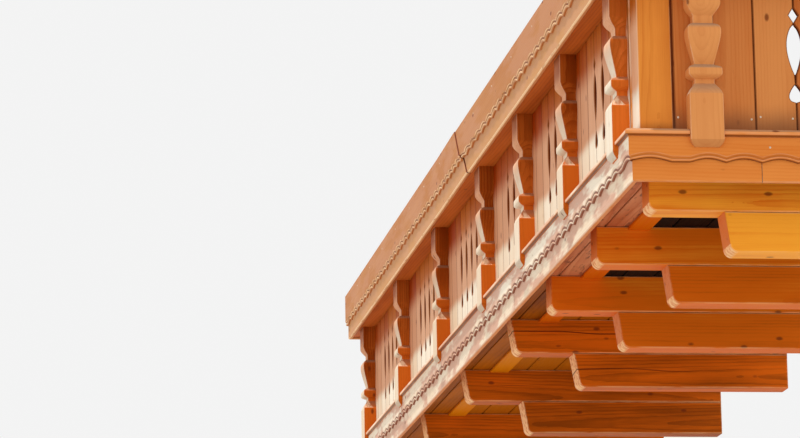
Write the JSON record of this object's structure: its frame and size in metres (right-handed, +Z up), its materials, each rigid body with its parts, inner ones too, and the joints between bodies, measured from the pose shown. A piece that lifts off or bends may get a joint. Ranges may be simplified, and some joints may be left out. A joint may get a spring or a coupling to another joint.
{
  "type": "timber chalet balcony",
  "caption": "Carved timber corner balcony of an alpine chalet: cantilever beams, scalloped fascia, turned-profile balusters, fretwork boards and an empty flower trough along the rail.",
  "frame": {"origin": "middle of the back end of the corbel under the last narrow bay, on the wall plane", "axes": "+X along the front toward the right end, +Y into the house wall, +Z up; the front faces -Y"},
  "size_m": [8.82, 1.599, 1.382],
  "materials": {
    "beam_wood": "glazed orange-brown spruce, worn pale on the lower arrises",
    "deck_wood": "bare planed boards, stained by water from above",
    "fascia_wood": "glazed warm tan spruce, bleached by the sun",
    "rail_wood": "glazed tan spruce with faint grain",
    "trough_wood": "glazed tan boards with a worn pale lower arris",
    "soffit_wood": "deep orange glazed boards, sheltered from the weather"
  },
  "bodies": {
    "root": {"joists": "beam_wood", "corbels": "beam_wood", "deck_boards": "deck_wood", "cover_strips": "beam_wood", "fascia_board_front": "fascia_wood", "fascia_board_right": "fascia_wood", "fascia_board_left": "fascia_wood", "fascia_apron_front": "fascia_wood", "fascia_apron_right": "fascia_wood", "fascia_apron_left": "fascia_wood", "ledge_front": "fascia_wood", "ledge_right": "fascia_wood", "ledge_left": "fascia_wood", "corner_post_right": "rail_wood", "corner_post_left": "rail_wood", "wall_post_right": "rail_wood", "wall_post_left": "rail_wood", "balusters_front": "rail_wood", "balusters_right": "rail_wood", "balusters_left": "rail_wood", "boards_front_1": "rail_wood", "boards_front_2": "rail_wood", "boards_front_3": "rail_wood", "boards_front_4": "rail_wood", "boards_front_5": "rail_wood", "boards_front_6": "rail_wood", "boards_right": "rail_wood", "boards_left": "rail_wood", "trough_board_front": "trough_wood", "trough_board_right": "trough_wood", "trough_board_left": "trough_wood", "trough_apron_front": "trough_wood", "trough_apron_right": "trough_wood", "trough_apron_left": "trough_wood", "trough_floor_front": "soffit_wood", "trough_floor_right": "soffit_wood", "trough_floor_left": "soffit_wood", "trough_inner_front": "trough_wood", "trough_inner_right": "trough_wood", "trough_inner_left": "trough_wood", "trough_end_right": "trough_wood", "trough_end_left": "trough_wood"}
  },
  "joints": []
}
